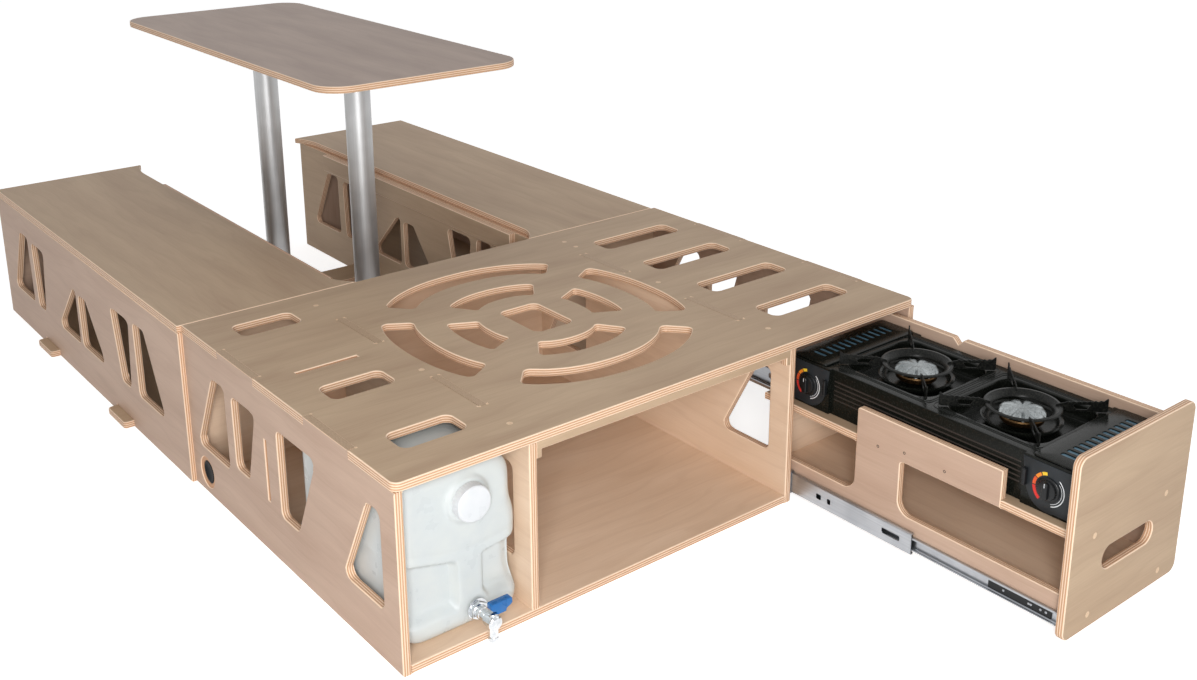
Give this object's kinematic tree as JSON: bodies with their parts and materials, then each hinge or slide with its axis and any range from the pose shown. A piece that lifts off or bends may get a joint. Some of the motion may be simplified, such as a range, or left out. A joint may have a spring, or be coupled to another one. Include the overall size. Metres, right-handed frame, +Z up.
{
  "type": "camper van kitchen box",
  "caption": "Plywood camper van kitchen and bed module: front box with slide-out stove drawer and water can, storage benches with lift-off lids, and a pedestal table.",
  "frame": {"origin": "on the floor, at the centre of the front box's footprint, on the underside of its floor panel", "axes": "+X to the right seen from the drawer's front, +Y back towards the benches, +Z up"},
  "size_m": [1.25, 2.5573, 0.732],
  "materials": {
    "birch_ply": "clear-oiled birch plywood, fine grain, pale edges with darker glue lines",
    "leg_aluminium": "satin anodised tube",
    "slide_zinc": "bright zinc-plated pressed steel",
    "stove_enamel": "glossy black enamelled sheet",
    "black_plastic": "black moulded plastic",
    "burner_alloy": "cast and machined burner head",
    "cartridge_tin": "plain drawn tin",
    "can_polythene": "milky blow-moulded polythene",
    "cap_polythene": "white moulded cap",
    "tap_chrome": "chromed brass",
    "tap_blue": "blue coated handle"
  },
  "bodies": {
    "frame": {"box_top": "birch_ply", "box_side_left": "birch_ply", "box_side_right": "birch_ply", "divider_left": "birch_ply", "divider_right": "birch_ply", "box_floor": "birch_ply", "box_back": "birch_ply", "front_rail": "birch_ply", "side_plug": "black_plastic", "bench_left_outer": "birch_ply", "bench_left_inner": "birch_ply", "bench_left_end": "birch_ply", "bench_left_floor": "birch_ply", "bed_rail_left": "birch_ply", "bench_right_outer": "birch_ply", "bench_right_inner": "birch_ply", "bench_right_end": "birch_ply", "bench_right_floor": "birch_ply", "bed_rail_right": "birch_ply", "floor_slat_front": "birch_ply", "floor_slat_rear": "birch_ply", "leg_socket_front": "black_plastic", "leg_socket_rear": "black_plastic", "slide_outer_left": "slide_zinc", "slide_outer_right": "slide_zinc"},
    "left_lid": {"bench_left_lid": "birch_ply"},
    "right_lid": {"bench_right_lid": "birch_ply"},
    "front_leg": {"table_leg_front": "leg_aluminium"},
    "rear_leg": {"table_leg_rear": "leg_aluminium"},
    "table": {"table_top": "birch_ply", "table_collar_front": "leg_aluminium", "table_collar_rear": "leg_aluminium"},
    "slide_middles": {"slide_middle_left": "slide_zinc", "slide_middle_right": "slide_zinc"},
    "drawer": {"drawer_front": "birch_ply", "drawer_side_left": "birch_ply", "drawer_side_right": "birch_ply", "drawer_floor": "birch_ply", "drawer_back": "birch_ply", "drawer_shelf": "birch_ply", "slide_inner_left": "slide_zinc", "slide_inner_right": "slide_zinc"},
    "stove": {"stove_body": "stove_enamel", "burner_front": "burner_alloy", "burner_rear": "burner_alloy", "gas_cartridge_front": "cartridge_tin", "gas_cartridge_rear": "cartridge_tin"},
    "front_pan_support": {"pan_support_front": "stove_enamel"},
    "rear_pan_support": {"pan_support_rear": "stove_enamel"},
    "front_cartridge_lid": {"cartridge_lid_front": "stove_enamel"},
    "rear_cartridge_lid": {"cartridge_lid_rear": "stove_enamel"},
    "front_knob": {"gas_knob_front": "black_plastic"},
    "rear_knob": {"gas_knob_rear": "black_plastic"},
    "front_lever": {"lock_lever_front": "black_plastic"},
    "rear_lever": {"lock_lever_rear": "black_plastic"},
    "can": {"water_can": "can_polythene", "tap_body": "tap_chrome"},
    "cap": {"can_cap": "cap_polythene"},
    "tap_lever": {"tap_handle": "tap_blue"}
  },
  "joints": [
    {"name": "drawer_slide", "type": "slide", "parent": "frame", "child": "drawer", "axis": [0, -1, 0], "range_m": [-0.57, 0]},
    {"name": "middle_member_slide", "type": "slide", "parent": "frame", "child": "slide_middles", "axis": [0, -1, 0], "range_m": [-0.285, 0]},
    {"name": "left_lid_lift", "type": "slide", "parent": "frame", "child": "left_lid", "axis": [0, 0, 1], "range_m": [0, 0.2]},
    {"name": "right_lid_lift", "type": "slide", "parent": "frame", "child": "right_lid", "axis": [0, 0, 1], "range_m": [0, 0.2]},
    {"name": "front_leg_lift", "type": "slide", "parent": "frame", "child": "front_leg", "axis": [0, 0, 1], "range_m": [0, 0.1]},
    {"name": "rear_leg_lift", "type": "slide", "parent": "frame", "child": "rear_leg", "axis": [0, 0, 1], "range_m": [0, 0.1]},
    {"name": "table_lift", "type": "slide", "parent": "front_leg", "child": "table", "axis": [0, 0, 1], "range_m": [0, 0.1]},
    {"name": "can_slide", "type": "slide", "parent": "frame", "child": "can", "axis": [0, -1, 0], "range_m": [0, 0.36]},
    {"name": "cap_turn", "type": "hinge", "parent": "can", "child": "cap", "pos_m": [-0.45254, -0.3733, 0.2449], "axis": [0, -1, 0], "range_deg": [0, 360]},
    {"name": "tap_turn", "type": "hinge", "parent": "can", "child": "tap_lever", "pos_m": [-0.4439, -0.4183, 0.0586], "axis": [0, 0, -1], "range_deg": [0, 90]},
    {"name": "stove_lift", "type": "slide", "parent": "drawer", "child": "stove", "axis": [0, 0, 1], "range_m": [0, 0.01]},
    {"name": "front_pan_support_lift", "type": "slide", "parent": "stove", "child": "front_pan_support", "axis": [0, 0, 1], "range_m": [0, 0.05]},
    {"name": "rear_pan_support_lift", "type": "slide", "parent": "stove", "child": "rear_pan_support", "axis": [0, 0, 1], "range_m": [0, 0.05]},
    {"name": "front_cartridge_lid_hinge", "type": "hinge", "parent": "stove", "child": "front_cartridge_lid", "pos_m": [0.418, -0.876, 0.2826], "axis": [-1, 0, 0], "range_deg": [0, 90]},
    {"name": "rear_cartridge_lid_hinge", "type": "hinge", "parent": "stove", "child": "rear_cartridge_lid", "pos_m": [0.418, -0.438, 0.2826], "axis": [1, 0, 0], "range_deg": [0, 12]},
    {"name": "front_knob_turn", "type": "hinge", "parent": "stove", "child": "front_knob", "pos_m": [0.2867, -0.913, 0.2373], "axis": [-1, 0, 0], "range_deg": [0, 95]},
    {"name": "rear_knob_turn", "type": "hinge", "parent": "stove", "child": "rear_knob", "pos_m": [0.2867, -0.401, 0.2373], "axis": [-1, 0, 0], "range_deg": [0, 95]},
    {"name": "front_lever_slide", "type": "slide", "parent": "stove", "child": "front_lever", "axis": [0, 0, 1], "range_m": [0, 0.014]},
    {"name": "rear_lever_slide", "type": "slide", "parent": "stove", "child": "rear_lever", "axis": [0, 0, 1], "range_m": [0, 0.014]}
  ],
  "couplings": [
    {"joint": "middle_member_slide", "follows": "drawer_slide", "ratio": 0.5},
    {"joint": "rear_leg_lift", "follows": "front_leg_lift", "ratio": 1}
  ]
}
